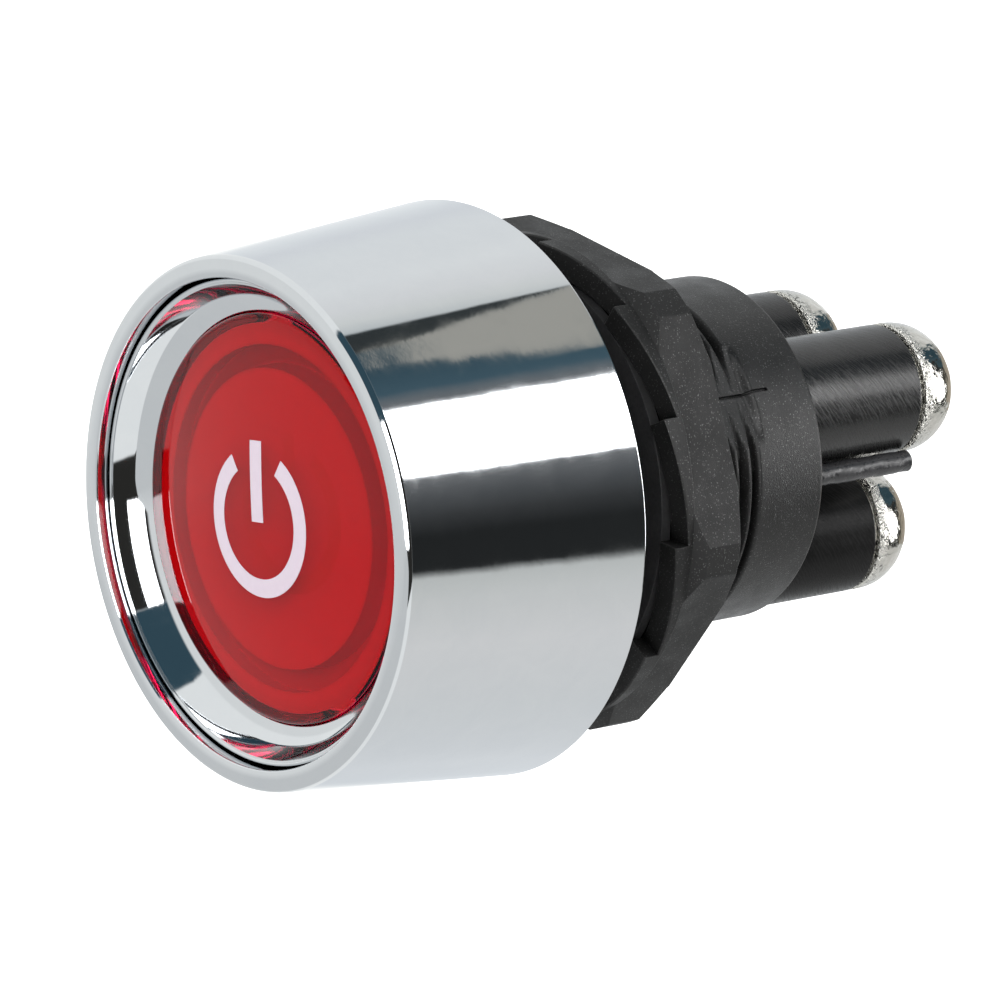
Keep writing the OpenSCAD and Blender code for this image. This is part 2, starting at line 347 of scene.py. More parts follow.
class Shader(Nodes):
    """A material, with its surface and output."""

    def __init__(self, name):
        self.material = bpy.data.materials.new(name)
        self.material.use_nodes = True
        super().__init__(self.material.node_tree)
        self.surface = self.nodes["Principled BSDF"]
        self.output = self.nodes["Material Output"]

    def dots(self, scale, size):
        """Small dots of random strength at random places, about scale of them in a millimetre."""
        turned = self.node("ShaderNodeMapping")
        turned.inputs["Rotation"].default_value = (0.5, 0.8, scale)
        self.link(self.mm, turned.inputs["Vector"])
        made = self.node("ShaderNodeTexVoronoi")
        made.inputs["Scale"].default_value = scale
        self.link(turned.outputs[0], made.inputs["Vector"])
        spread = self.node("ShaderNodeSeparateColor")
        self.link(made.outputs["Color"], spread.inputs[0])
        strength = self.remap(spread.outputs[0], 0.45, 1.0, 0.0, 1.0)
        dot = self.remap(made.outputs["Distance"], size, size + 0.12, 1.0, 0.0)
        return self.both(dot, strength)

    def bump(self, height, distance_mm, strength=1.0, normal=None):
        """A normal from a height of 0 to 1 that stands distance_mm tall."""
        made = self.node("ShaderNodeBump")
        made.inputs["Strength"].default_value = strength
        made.inputs["Distance"].default_value = distance_mm * MM
        self.link(height, made.inputs["Height"])
        if normal is not None:
            self.link(normal, made.inputs["Normal"])
        return made.outputs["Normal"]

    def soft_edges(self, radius_mm):
        """A normal that rounds sharp edges."""
        made = self.node("ShaderNodeBevel", samples=6)
        made.inputs["Radius"].default_value = radius_mm * MM
        return made.outputs["Normal"]

    def edge_wear(self, radius_mm, low=0.03, high=0.25):
        """1 on sharp edges and 0 away from them."""
        bevel = self.soft_edges(radius_mm)
        plain = self.node("ShaderNodeNewGeometry").outputs["Normal"]
        dot = self.node("ShaderNodeVectorMath", operation="DOT_PRODUCT")
        self.link(bevel, dot.inputs[0])
        self.link(plain, dot.inputs[1])
        away = self.math("SUBTRACT", 1.0, dot.outputs["Value"])
        return self.remap(away, low, high, 0.0, 1.0)

    def openness(self, reach_mm):
        """1 on open faces, falling to 0 deep in grooves and corners: the mask for painted shade in
        hollows.
        """
        made = self.node("ShaderNodeAmbientOcclusion", samples=6)
        made.inputs["Distance"].default_value = reach_mm * MM
        return self.remap(made.outputs["AO"], 0.25, 0.85, 0.0, 1.0)

    def set(self, **values):
        """Sets or links inputs of the surface, named with _ for a space."""
        for key, value in values.items():
            self.link(value, self.surface.inputs[key.replace("_", " ")])


def shade(value):
    """A grey as a colour with alpha."""
    return (value, value, value, 1.0)


def chrome():
    """Polished plate: slow waves from the moulding under it, faint hairlines and smears."""
    s = Shader("chrome_plate")
    wave = s.noise(0.22, detail=1.0)
    ripple = s.noise(1.4, detail=3.0, rough=0.6)
    normal = s.bump(wave, 0.008, normal=s.soft_edges(0.05))
    normal = s.bump(ripple, 0.0006, normal=normal)
    smear = s.noise(0.35, detail=5.0, rough=0.65, distortion=0.8)
    s.set(
        Metallic=1.0,
        Base_Color=s.mix(smear, (0.60, 0.62, 0.645, 1), (0.66, 0.675, 0.69, 1)),
        Roughness=s.remap(smear, 0.35, 0.8, 0.035, 0.075),
        Normal=normal,
    )
    return s.material


def nickel():
    """Nickel over a cast surface: grain all over, and black pits near the foot of each dome."""
    s = Shader("nickel_plate")
    grain = s.noise(3.2, detail=4.0, rough=0.65)
    pits = s.noise(4.5, detail=3.0, rough=0.7)
    ragged = s.math("ADD", s.parts(s.mm)["Y"], s.math("MULTIPLY", s.noise(1.2, detail=3.0), 1.4))
    foot = s.remap(ragged, DOME_SEAT + 0.7, DOME_SEAT + 1.6, 1.0, 0.0)
    pitted = s.both(foot, s.remap(pits, 0.40, 0.46, 1.0, 0.0))
    normal = s.bump(s.noise(0.8, detail=2.0), 0.14, normal=s.soft_edges(0.06))
    normal = s.bump(grain, 0.02, normal=normal)
    normal = s.bump(s.both(s.remap(pits, 0.4, 0.6, 0.0, 1.0), foot), 0.03, normal=normal)
    colour = s.mix(grain, (0.46, 0.45, 0.42, 1), (0.64, 0.63, 0.59, 1))
    s.set(
        Metallic=1.0,
        Base_Color=s.mix(pitted, colour, (0.06, 0.06, 0.055, 1)),
        Roughness=s.remap(grain, 0.3, 0.7, 0.06, 0.15),
        Normal=normal,
    )
    return s.material


def moulding(name, low, high, roughness, grit, wear=0.5, shine=0.4):
    """Black moulding with a fine spark-eroded grain, bright flecks and edges rubbed lighter, with
    painted shade blackening its colour and specular deep in grooves and corners.

    grit is the height of the grain in millimetres, shine the specular level between the flecks.
    """
    s = Shader(name)
    grain = s.noise(15.0, detail=1.0)
    cloud = s.noise(0.5, detail=3.0)
    fleck = s.math("MAXIMUM", s.dots(5.5, 0.16), s.dots(8.3, 0.2))
    body = s.mix(cloud, shade(low), shade(high))
    body = s.mix(s.both(fleck, 0.05), body, shade(0.25))
    rubbed = s.both(s.edge_wear(0.12), wear)
    body = s.mix(rubbed, body, shade(high * 4.0))
    normal = s.bump(grain, grit, normal=s.soft_edges(0.07))
    # painted shade: colour and specular fall towards black deep in grooves and corners
    unshaded_share = s.openness(1.2)
    s.set(
        Base_Color=s.mix(unshaded_share, shade(0.001), body),
        Roughness=s.remap(cloud, 0.3, 0.7, roughness - 0.05, roughness + 0.07),
        Specular_IOR_Level=s.both(unshaded_share, s.remap(fleck, 0.0, 1.0, shine, 1.0)),
        Normal=normal,
    )
    return s.material


def post_finish(name, centre, shine):
    """Half-gloss black with fine turning marks that run at a slant round the post.

    The marks are laid out on the post's skin unrolled at marks_r, in millimetres.
    """
    s = Shader(name)
    moved = s.node("ShaderNodeVectorMath", operation="SUBTRACT")
    s.link(s.mm, moved.inputs[0])
    moved.inputs[1].default_value = (centre[0], 0.0, centre[1])
    axis = s.parts(moved.outputs[0])
    marks_r = 4.05
    slant = math.radians(-38)
    turn = s.math("MULTIPLY", s.math("ARCTAN2", axis["Z"], axis["X"]), marks_r)
    along = s.math(
        "ADD",
        s.math("MULTIPLY", turn, math.cos(slant)),
        s.math("MULTIPLY", axis["Y"], math.sin(slant)),
    )
    across = s.math(
        "SUBTRACT",
        s.math("MULTIPLY", axis["Y"], math.cos(slant)),
        s.math("MULTIPLY", turn, math.sin(slant)),
    )
    streak_place = s.node("ShaderNodeCombineXYZ")
    s.link(s.math("MULTIPLY", along, 0.8), streak_place.inputs[0])
    s.link(s.math("MULTIPLY", across, 8.0), streak_place.inputs[1])
    streaks = s.noise(1.0, detail=3.0, rough=0.6, where=streak_place.outputs[0])
    cloud = s.noise(0.6, detail=2.0)
    normal = s.bump(streaks, 0.009, normal=s.soft_edges(0.08))
    s.set(
        Base_Color=s.mix(cloud, shade(0.006), shade(0.012)),
        Roughness=s.remap(streaks, 0.3, 0.7, 0.16, 0.36),
        Specular_IOR_Level=shine,
        Normal=normal,
    )
    return s.material


def red_lens():
    """Clear red acrylic. Light passes to what is behind it, tinted, without hard shadows."""
    s = Shader("red_acrylic")
    scuff = s.noise(1.8, detail=6.0, rough=0.7)
    normal = s.bump(s.noise(0.3, detail=1.0), 0.01)
    s.set(
        Base_Color=(0.79, 0.010, 0.065, 1),
        Roughness=s.remap(scuff, 0.45, 0.8, 0.015, 0.06),
        Transmission_Weight=1.0,
        IOR=1.32,
        Normal=normal,
    )
    see_through = s.node("ShaderNodeBsdfTransparent")
    see_through.inputs["Color"].default_value = (0.75, 0.018, 0.065, 1)
    ray = s.node("ShaderNodeLightPath")
    indirect = s.math("MAXIMUM", ray.outputs["Is Shadow Ray"], ray.outputs["Is Diffuse Ray"])
    blend = s.node("ShaderNodeMixShader")
    s.link(indirect, blend.inputs[0])
    s.link(s.surface.outputs[0], blend.inputs[1])
    s.link(see_through.outputs[0], blend.inputs[2])
    s.link(blend.outputs[0], s.output.inputs["Surface"])
    return s.material


def milky_diffuser():
    """Milky white, with painted shade: a darker ring where its groove scatters less light forward,
    deepening towards the top, and a faint painted shadow of the bezel's rim round its border.
    """
    s = Shader("milky_diffuser")
    axis = s.parts(s.mm)
    squares = s.math("ADD", s.both(axis["X"], axis["X"]), s.both(axis["Z"], axis["Z"]))
    radius = s.math("SQRT", squares)
    ring = s.band(radius, GROOVE_IN, GROOVE_OUT, 0.3)
    # painted shade: the ring darkens from bottom to top
    ring_shade_by_height = s.remap_line(axis["Z"], -10.0, 10.0, 0.35, 0.75)
    # painted shadow of the bezel's rim over the diffuser's outer border
    rim_shadow = s.remap(radius, 10.9, 11.9, 0.0, 0.2)
    shaded = s.math("MAXIMUM", s.both(ring, ring_shade_by_height), rim_shadow)
    cloud = s.noise(0.7, detail=4.0)
    white = s.mix(cloud, (0.72, 0.66, 0.64, 1), (0.78, 0.72, 0.70, 1))
    s.set(
        Base_Color=s.mix(shaded, white, (0.28, 0.19, 0.19, 1)),
        Roughness=s.remap(s.noise(3.0, detail=3.0), 0.3, 0.7, 0.45, 0.75),
        Normal=s.bump(s.noise(3.0, detail=3.0), 0.01, normal=s.soft_edges(0.05)),
    )
    return s.material


def plain_finish(name, low, high, roughness, metallic=0.0, grain=4.0, height=0.01, **extra):
    """A finish for a part seen less: clouded colour, uneven roughness and a fine grain."""
    s = Shader(name)
    cloud = s.noise(grain * 0.2, detail=4.0)
    fine = s.noise(grain, detail=3.0, rough=0.6)
    s.set(
        Metallic=metallic,
        Base_Color=s.mix(cloud, (*low, 1), (*high, 1)),
        Roughness=s.remap(fine, 0.3, 0.7, roughness * 0.75, min(1.0, roughness * 1.3)),
        Normal=s.bump(fine, height, normal=s.soft_edges(0.05)),
        **extra,
    )
    return s.material


CHROME = chrome()
NICKEL = nickel()
BARREL_BLACK = moulding("barrel_black", 0.006, 0.011, 0.36, 0.02, shine=0.3)
NUT_BLACK = moulding("nut_black", 0.005, 0.010, 0.5, 0.015, wear=0.8, shine=0.25)
BASE_BLACK = moulding("base_black", 0.006, 0.012, 0.45, 0.02)
RED = red_lens()
INK = plain_finish("white_ink", (0.55, 0.47, 0.54), (0.60, 0.52, 0.59), 0.55, grain=9.0)
MILKY = milky_diffuser()
NYLON = plain_finish("natural_nylon", (0.70, 0.67, 0.58), (0.80, 0.77, 0.69), 0.5, grain=2.5)
RUBBER = plain_finish(
    "black_rubber", (0.012, 0.012, 0.012), (0.03, 0.03, 0.03), 0.8, grain=6.0, height=0.03
)
BRASS = plain_finish("turned_brass", (0.62, 0.42, 0.16), (0.78, 0.57, 0.26), 0.28, metallic=1.0)
COPPER = plain_finish("copper_strip", (0.66, 0.30, 0.17), (0.80, 0.42, 0.27), 0.3, metallic=1.0)
SILVER = plain_finish("contact_silver", (0.78, 0.77, 0.73), (0.88, 0.87, 0.85), 0.25, metallic=1.0)
SPRING = plain_finish("spring_wire", (0.42, 0.42, 0.43), (0.60, 0.60, 0.61), 0.3, metallic=1.0)
BOARD = plain_finish("green_board", (0.02, 0.13, 0.06), (0.03, 0.20, 0.09), 0.35)
CHIP = plain_finish("chip_resistor", (0.01, 0.01, 0.01), (0.03, 0.03, 0.03), 0.4)
LED = plain_finish("led_chip", (0.80, 0.75, 0.55), (0.90, 0.87, 0.70), 0.3)
LEAD = plain_finish(
    "sleeved_lead", (0.012, 0.012, 0.013), (0.03, 0.03, 0.032), 0.3, grain=2.0, height=0.04
)
STEEL_BLACK = plain_finish("black_steel", (0.02, 0.02, 0.02), (0.04, 0.04, 0.042), 0.45, metallic=0.4)


# ---------------------------------------------------------------- fixed pieces


def build_bezel():
    """Chrome shell: flared outside, flat rim with rounded edges, bore and rear web."""
    bore = BARREL_R + 0.08
    outline = rounded(
        [
            (bore, -BEZEL_WEB, 0.1),
            (bore, 0.0, 0.1),
            (GASKET_IN, 0.0, 0.05),
            (GASKET_IN, -GASKET_DEPTH, 0.0),
            (GASKET_OUT, -GASKET_DEPTH, 0.0),
            (GASKET_OUT, 0.0, 0.08),
            (BEZEL_R, 0.0, 0.08),
            (BEZEL_RIM_R, BEZEL_FRONT, 0.42),
            (BEZEL_BORE_R, BEZEL_FRONT, 0.16),
            (BEZEL_BORE_R, -BEZEL_WEB, 0.3),
        ]
    )
    points, faces = revolve(outline, segments=384)
    return add_mesh("bezel_shell", points, faces, "housing_body", CHROME, ("bezel",))


def barrel_radius(angle, y):
    """Radius of the threaded barrel: a right-hand thread, cut back by two flats."""
    phase = ((y - THREAD_START) / PITCH + angle / TAU) % 1.0
    away = np.abs(phase - 0.5) * 2
    crest, root = 0.16, 0.12
    cut = np.clip((1 - away - crest) / (1 - crest - root), 0, 1)
    fade = smooth_step(THREAD_START - 0.2, THREAD_START + 0.7, y) * smooth_step(
        -THREAD_END, -THREAD_END + 0.5, -y
    )
    radius = BARREL_R - THREAD_DEPTH * cut * fade
    flat = BARREL_R - THREAD_DEPTH
    for side in (0, 180):
        away = (angle - math.radians(FLAT_ANGLE + side) + math.pi) % TAU - math.pi
        plane = flat / np.cos(np.clip(away, -1.2, 1.2))
        slit_y = (y > THREAD_START) & (y < THREAD_END + 1.6)
        slit = 0.16 * (1 - smooth_step(0.05, 0.11, np.abs(away) * flat)) * slit_y
        run_out = plane + (BARREL_R - plane) * smooth_step(THREAD_END - 0.1, THREAD_END + 0.5, y)
        radius = np.where(y > THREAD_START - 0.3, np.minimum(radius, run_out), radius) - slit
    return radius


def build_barrel():
    """The barrel behind the bezel's web, as a grid that follows the thread and the flats."""
    slit = np.radians([-0.62, -0.5, -0.36, -0.24, 0.0, 0.24, 0.36, 0.5, 0.62])
    near_slits = [math.radians(FLAT_ANGLE + side) + slit for side in (0, 180)]
    angles = np.sort(np.concatenate([np.arange(720) * TAU / 720, *near_slits]))
    rows_per_pitch = 14
    count = int((THREAD_END - THREAD_START + 0.3) / PITCH * rows_per_pitch)
    thread_rows = np.linspace(THREAD_START - 0.3, THREAD_END - 0.001, count)
    run_out_rows = np.linspace(THREAD_END + 0.02, THREAD_END + 0.52, 8)
    band_rows = [*run_out_rows, THREAD_END + 1.58, THREAD_END + 1.61, BARREL_END - 0.3]
    outer = np.concatenate([[-BEZEL_WEB + 0.05, THREAD_START - 0.32], thread_rows, band_rows])
    radius = barrel_radius(angles[:, None], outer[None, :])
    skin = polar(angles[:, None], radius, outer[None, :])
    closing = rounded(
        [
            (BARREL_R, BARREL_END - 0.3, 0.0),
            (BARREL_R, BARREL_END, 0.22),
            (BASE_SEAT_R, BARREL_END, 0.1),
            (BASE_SEAT_R, BASE_FRONT, 0.0),
            (CHAMBER_R, BASE_FRONT, 0.0),
            (CHAMBER_R, -BEZEL_WEB + 0.05, 0.0),
        ],
        closed=False,
    )[1:]
    inner = np.stack([polar(angles, r, y) for r, y in closing], axis=1)
    points, faces = wrap_grid(np.concatenate([skin, inner], axis=1))
    return add_mesh("barrel", points, faces, "housing_body", BARREL_BLACK, ("housing",), sharp=38)


def build_barrel_front():
    """The housing's flange inside the bezel, with the spring's well and the stem's guide."""
    inside_r = CHAMBER_R - 0.02
    outline = rounded(
        [
            (inside_r, WALL_REAR, 0.0),
            (STEM_BORE_R, WALL_REAR, 0.1),
            (STEM_BORE_R, WALL_FRONT, 0.0),
            (SPRING_WELL_R, WALL_FRONT, 0.0),
            (SPRING_WELL_R, BOARD_SEAT, 0.1),
            (BOARD_POCKET_R, BOARD_SEAT, 0.0),
            (BOARD_POCKET_R, FLANGE_FRONT, 0.1),
            (FLANGE_R, FLANGE_FRONT, 0.2),
            (FLANGE_R, -BEZEL_WEB - 0.02, 0.1),
            (inside_r, -BEZEL_WEB - 0.02, 0.0),
        ]
    )
    points, faces = revolve(outline, segments=128)
    flange = add_mesh("barrel_flange", points, faces, "housing_body", BARREL_BLACK)
    pin_r, pin_offset = 0.7, 12.0
    drill(flange, (pin_offset, 0.0), pin_r)
    drill(flange, (-pin_offset, 0.0), pin_r)
    drill(flange, centre_mm("lamp_lead"), 0.85)
    drill(flange, centre_mm("lamp_feed"), 0.7)
    return flange


def drill(piece, centre, radius):
    """Cuts a round hole along Y through the flange's board seat and wall."""
    front, rear = FLANGE_FRONT - 2.0, WALL_REAR + 1.4
    outline = [(0.0, front), (radius, front), (radius, rear), (0.0, rear)]
    points, faces = revolve(outline, segments=32, centre=centre, closed=False)
    bit = add_mesh("drill_bit", points, faces, "housing_body", BARREL_BLACK)
    hole = piece.modifiers.new("hole", "BOOLEAN")
    hole.operation = "DIFFERENCE"
    hole.object = bit
    bpy.context.view_layer.objects.active = piece
    bpy.ops.object.modifier_apply(modifier=hole.name)
    bpy.data.objects.remove(bit)


def build_posts():
    """Three black terminal posts, bored for their studs."""
    for letter in TERMINALS:
        node = f"post_{letter}"
        low, high = box_mm(node)
        radius = (high.x - low.x) / 2
        outline = rounded(
            [
                (POST_BORE_R, low.y, 0.0),
                (radius, low.y, 0.05),
                (radius, high.y, 0.18),
                (POST_BORE_R, high.y, 0.1),
            ]
        )
        centre = centre_mm(node)
        points, faces = revolve(outline, segments=128, centre=centre)
        # each post's shine; post c's is turned down as painted shade
        finish = post_finish(f"post_black_{letter}", centre, POST_SHINE_AND_SHADE[letter])
        add_mesh(f"post_sleeve_{letter}", points, faces, "housing_body", finish, (node,))


def cross_press(x, z, lean):
    """How far a pressed cross goes in at (x, z): 1 on its arms and 0 beside them."""
    arm, half, soft = 1.75, 0.4, 0.1
    along = x * math.cos(lean) + z * math.sin(lean)
    across = z * math.cos(lean) - x * math.sin(lean)
    arms = [
        (1 - smooth_step(half - soft, half + soft, np.abs(side)))
        * (1 - smooth_step(arm - 0.5, arm, np.abs(ahead)))
        for side, ahead in ((along, across), (across, along))
    ]
    return np.maximum(*arms)


def cast_lumps(x, z, rng):
    """Low random waves of a cast surface at (x, z), in millimetres."""
    return sum(
        rng.uniform(0.004, 0.012)
        * np.sin(x * rng.uniform(0.8, 2.6) + rng.uniform(0, 6))
        * np.sin(z * rng.uniform(0.8, 2.6) + rng.uniform(0, 6))
        for _ in range(5)
    )


def screw_mesh(centre, radius, top, tip, rng):
    """Points and faces of a domed cross-head screw: rings from the dome's top to the shank's tip."""
    rings, spokes = 76, 192
    angle = TAU * np.arange(spokes) / spokes
    bend = np.linspace(0.0, 1.0, rings) * math.pi / 2
    side_y = DOME_SEAT + DOME_SIDE
    x = radius * np.sin(bend)[:, None] * np.cos(angle)[None, :]
    z = radius * np.sin(bend)[:, None] * np.sin(angle)[None, :]
    y = np.broadcast_to((side_y + (top - side_y) * np.cos(bend))[:, None], x.shape)
    press = cross_press(x, z, math.radians(rng.uniform(0, 90)))
    y = y - 1.3 * press - np.abs(cast_lumps(x, z, rng))
    dome = np.stack([centre[0] + x, y, centre[1] + z], axis=-1)
    shank = [
        (radius, DOME_SEAT + 0.12),
        (radius - 0.12, DOME_SEAT),
        (SHANK_R, DOME_SEAT),
        (SHANK_R, tip + 0.3),
        (SHANK_R - 0.35, tip),
    ]
    shift = np.array([centre[0], 0.0, centre[1]])
    lower = [polar(angle, r, level) + shift for r, level in shank]
    points = np.concatenate([dome[1:].reshape(-1, 3), *lower, dome[0, :1]])
    count = rings - 1 + len(shank)
    apex = count * spokes
    faces = [[apex, k, (k + 1) % spokes] for k in range(spokes)]
    for i in range(count - 1):
        near, far = i * spokes, (i + 1) * spokes
        for k in range(spokes):
            m = (k + 1) % spokes
            faces.append([near + k, near + m, far + m, far + k])
    faces.append(list(range((count - 1) * spokes, count * spokes)))
    return points, faces


def build_screws():
    """Domed cross-head screws: a cast dome with a pressed cross, on a plain shank."""
    rng = np.random.default_rng(7)
    for letter in TERMINALS:
        node = f"terminal_screw_{letter}"
        low, high = box_mm(node)
        radius = (high.x - low.x) / 2
        points, faces = screw_mesh(centre_mm(node), radius, high.y, low.y, rng)
        name = f"domed_screw_{letter}"
        add_mesh(name, points, faces, f"screw_{letter}", NICKEL, (node,), sharp=30)


def build_lead():
    """Black sleeved lead with a slightly uneven skin, its copper core showing at the cut end."""
    low, high = box_mm("lamp_lead")
    centre = centre_mm("lamp_lead")
    bore = LEAD_CORE_R + 0.03
    rows = np.linspace(low.y + 1.2, high.y - 0.1, 90)
    swell = 1 + 0.03 * np.sin(rows * 2.1) + 0.02 * np.sin(rows * 5.3 + 1.0)
    outline = [(bore, rows[0])] + [(LEAD_R * k - 0.04, y) for k, y in zip(swell, rows)]
    outline += [(LEAD_R - 0.14, high.y), (bore + 0.06, high.y), (bore + 0.02, high.y - 0.3)]
    points, faces = revolve(outline, segments=40, centre=centre)
    add_mesh("lead_sleeve", points, faces, "housing_body", LEAD, ("lamp_lead",))
    outline = [
        (0.0, low.y),
        (LEAD_CORE_R, low.y),
        (LEAD_CORE_R, high.y - 0.22),
        (0.2, high.y - 0.16),
        (0.0, high.y - 0.15),
    ]
    points, faces = revolve(outline, segments=24, centre=centre, closed=False)
    add_mesh("lead_core", points, faces, "housing_body", COPPER)


# ---------------------------------------------------------------- the nut


def build_nut():
    """Hexagon nut with turned corners and a ring of ratchet teeth on its front."""
    front, rear = NUT_LOW.y, NUT_HIGH.y
    face = front + TOOTH_HEIGHT
    rim_r, ramp_r = 15.0, 14.6
    hexagon_turn = math.radians(15)
    first_step = math.radians(18.5)
    pitch_angle = TAU / NUT_TEETH
    bore = BARREL_R + 0.1
    ramp = TOOTH_HEIGHT / (ramp_r * math.sin(pitch_angle))
    step_angles = first_step + pitch_angle * np.arange(NUT_TEETH)
    plain = np.arange(720) * TAU / 720 + 0.0005
    angles = np.concatenate([plain, step_angles - 1e-5, step_angles + 1e-5]) % TAU
    angles = np.sort(angles)

    def ramp_height(radius):
        """Front of the teeth: each crest is just below its step, and falls away from it."""
        past = (first_step - angles) % pitch_angle
        return front + radius * np.sin(past) * ramp

    away = (angles - hexagon_turn + math.pi / 6) % (math.pi / 3) - math.pi / 6
    hexagon = np.minimum(NUT_APOTHEM / np.cos(away), NUT_CORNER_R)
    chamfer = (1.0 - 0.1) / (NUT_CORNER_R - rim_r)
    ledge = face + 0.1 + (TOOTH_RING_R - rim_r) * chamfer
    slope_start = np.where(hexagon > TOOTH_RING_R, ledge + (hexagon - TOOTH_RING_R) * chamfer, ledge)
    rear_drop = np.clip((hexagon - rim_r) / (NUT_CORNER_R - rim_r), 0, 1) * 0.7
    rim = np.minimum(hexagon, rim_r)
    ones = np.ones_like(angles)
    rows = [
        (bore * ones, (face + 0.25) * ones),
        ((bore + 0.25) * ones, face * ones),
        (TOOTH_INNER_R * ones, face * ones),
        (TOOTH_INNER_R * ones, np.minimum(ramp_height(TOOTH_INNER_R), face)),
        ((TOOTH_RING_R - 0.08) * ones, ramp_height(TOOTH_RING_R - 0.08)),
        (TOOTH_RING_R * ones, ramp_height(TOOTH_RING_R) + 0.08),
        (TOOTH_RING_R * ones, ledge * ones),
        (hexagon, slope_start),
        (hexagon, rear - rear_drop - 0.06),
        (np.minimum(hexagon, rim + 0.06), (rear - 0.03) * ones),
        (rim - 0.1, rear * ones),
        ((bore + 0.25) * ones, rear * ones),
        (bore * ones, (rear - 0.25) * ones),
    ]
    grid = np.stack([polar(angles, r, y) for r, y in rows], axis=1)
    points, faces = wrap_grid(grid)
    return add_mesh("toothed_nut", points, faces, "nut", NUT_BLACK, ("mounting_nut",), sharp=25)


# ---------------------------------------------------------------- the button


def build_collar():
    """Chrome collar: a ring whose hollow face falls from a rounded lip to the lens."""
    r_in = LENS_R + 0.05
    outline = [(COLLAR_R, COLLAR_HIGH.y), (r_in, COLLAR_HIGH.y)]
    outline += arc((r_in + COLLAR_LEDGE, LENS_EDGE), COLLAR_LEDGE, 90, COLLAR_ARCS[0][1], 8)
    for radius, start, end in COLLAR_ARCS:
        last = outline[-1]
        turn = math.radians(start)
        centre = (last[0] - radius * math.sin(turn), last[1] + radius * math.cos(turn))
        outline += arc(centre, -radius, start, end, 14)[1:]
    lip_start = COLLAR_ARCS[-1][2]
    lip_y = outline[-1][1] - COLLAR_LIP_R * math.cos(math.radians(lip_start))
    outline += arc((COLLAR_R - COLLAR_LIP_R, lip_y), COLLAR_LIP_R, lip_start, 270, 24)[1:]
    points, faces = revolve(outline, segments=320)
    return add_mesh("collar_ring", points, faces, "button", CHROME, ("collar",), sharp=50)


def lens_surface(radius):
    """Place along the axis of the lens's dome at a radius."""
    rise = LENS_EDGE - LENS_ROUND - LENS_TOP
    reach = LENS_R - LENS_ROUND
    dome_r = (reach**2 + rise**2) / (2 * rise)
    return LENS_TOP + dome_r - math.sqrt(dome_r**2 - radius**2)


def build_lens():
    """Red lens: a shallow dome with a rounded edge that stands proud, on a skirt."""
    reach = LENS_R - LENS_ROUND - 0.02
    outline = [(reach * i / 40, lens_surface(reach * i / 40)) for i in range(41)]
    outline += arc((reach, LENS_EDGE), LENS_ROUND, 187, 270, 14)
    outer, inner = LENS_R - 0.02, LENS_R - LENS_SKIRT
    outline += rounded(
        [
            (outer, LENS_EDGE, 0.0),
            (outer, LENS_HIGH.y, 0.05),
            (inner, LENS_HIGH.y, 0.05),
            (inner, LENS_BACK, 0.15),
            (0.0, LENS_BACK, 0.0),
        ],
        closed=False,
    )[1:]
    points, faces = revolve(outline, segments=320, closed=False)
    return add_mesh("red_lens", points, faces, "button", RED, ("lens",), sharp=50)


def film_on_lens(line, lanes=9):
    """Points and faces of a printed stroke that follows a line of (x, z) over the lens's dome."""
    line = np.asarray(line)
    ahead = np.gradient(line, axis=0)
    ahead /= np.linalg.norm(ahead, axis=1)[:, None]
    side = np.stack([-ahead[:, 1], ahead[:, 0]], axis=1)
    points = []
    for p, n in zip(line, side):
        for lift in (-MARK_FILM, 0.004):
            for lane in range(lanes):
                x, z = p + n * MARK_STROKE * (lane / (lanes - 1) - 0.5)
                points.append((x, lens_surface(math.hypot(x, z)) + lift, z))
    per = 2 * lanes
    loop = list(range(lanes)) + list(range(per - 1, lanes - 1, -1))
    faces = []
    for i in range(len(line) - 1):
        near, far = i * per, (i + 1) * per
        for a, b in zip(loop, loop[1:] + loop[:1]):
            faces.append([near + a, near + b, far + b, far + a])
    for end in (0, (len(line) - 1) * per):
        for lane in range(end, end + lanes - 1):
            faces.append([lane, lane + 1, lane + lanes + 1, lane + lanes])
    return points, faces


def build_mark():
    """The printed mark: a broken ring and a bar, a thin film on the lens's dome."""
    gap = math.radians(32)
    spans = 96
    turns = [math.pi / 2 + gap + (TAU - 2 * gap) * k / spans for k in range(spans + 1)]
    ring = [(MARK_R * math.cos(a), MARK_R * math.sin(a)) for a in turns]
    bar = [(0.0, MARK_R + 0.9 - 5.0 * k / 30) for k in range(31)]
    points, faces = film_on_lens(ring)
    more_points, more_faces = film_on_lens(bar)
    faces += [[corner + len(points) for corner in face] for face in more_faces]
    return add_mesh("start_mark", points + more_points, faces, "button", INK, sharp=60)


def coil_path(coil_r, turns, low, high, steps=40):
    """Points of a helix about the button's axis."""
    t = np.linspace(0, 1, int(turns * steps))
    angle = TAU * turns * t
    y = low + (high - low) * t
    return np.stack([coil_r * np.cos(angle), y, coil_r * np.sin(angle)], axis=1)


def build_springs():
    """Return spring in its well, on a mesh of its own, and the contact spring."""
    low, high = box_mm("return_spring")
    wire = 0.3
    points, faces = sweep(coil_path(3.6, 6, low.y + wire, high.y - wire), wire)
    name = "coil_return_spring"
    spring = add_mesh(name, points, faces, "housing_body", SPRING, ("return_spring",))
    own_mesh(spring)
    low, high = box_mm("contact_spring")
    wire = 0.22
    points, faces = sweep(coil_path(2.2, 2.5, low.y + wire, high.y - wire), wire)
    add_mesh("coil_contact_spring", points, faces, "button", SPRING, ("contact_spring",))


def build_washers():
    """Thin washers under the domed screws."""
    for letter in TERMINALS:
        name = f"clamp_washer_{letter}"
        low, high = box_mm(name)
        radius = (high.x - low.x) / 2 - 0.3
        outline = rounded(
            [
                (WASHER_BORE_R, low.y, 0.05),
                (radius, low.y, 0.1),
                (radius, high.y, 0.1),
                (WASHER_BORE_R, high.y, 0.05),
            ]
        )
        points, faces = revolve(outline, segments=96, centre=centre_mm(name))
        add_mesh(f"washer_{letter}", points, faces, f"washer_{letter}", NICKEL, (name,))


# ---------------------------------------------------------------- CAD nodes that stay


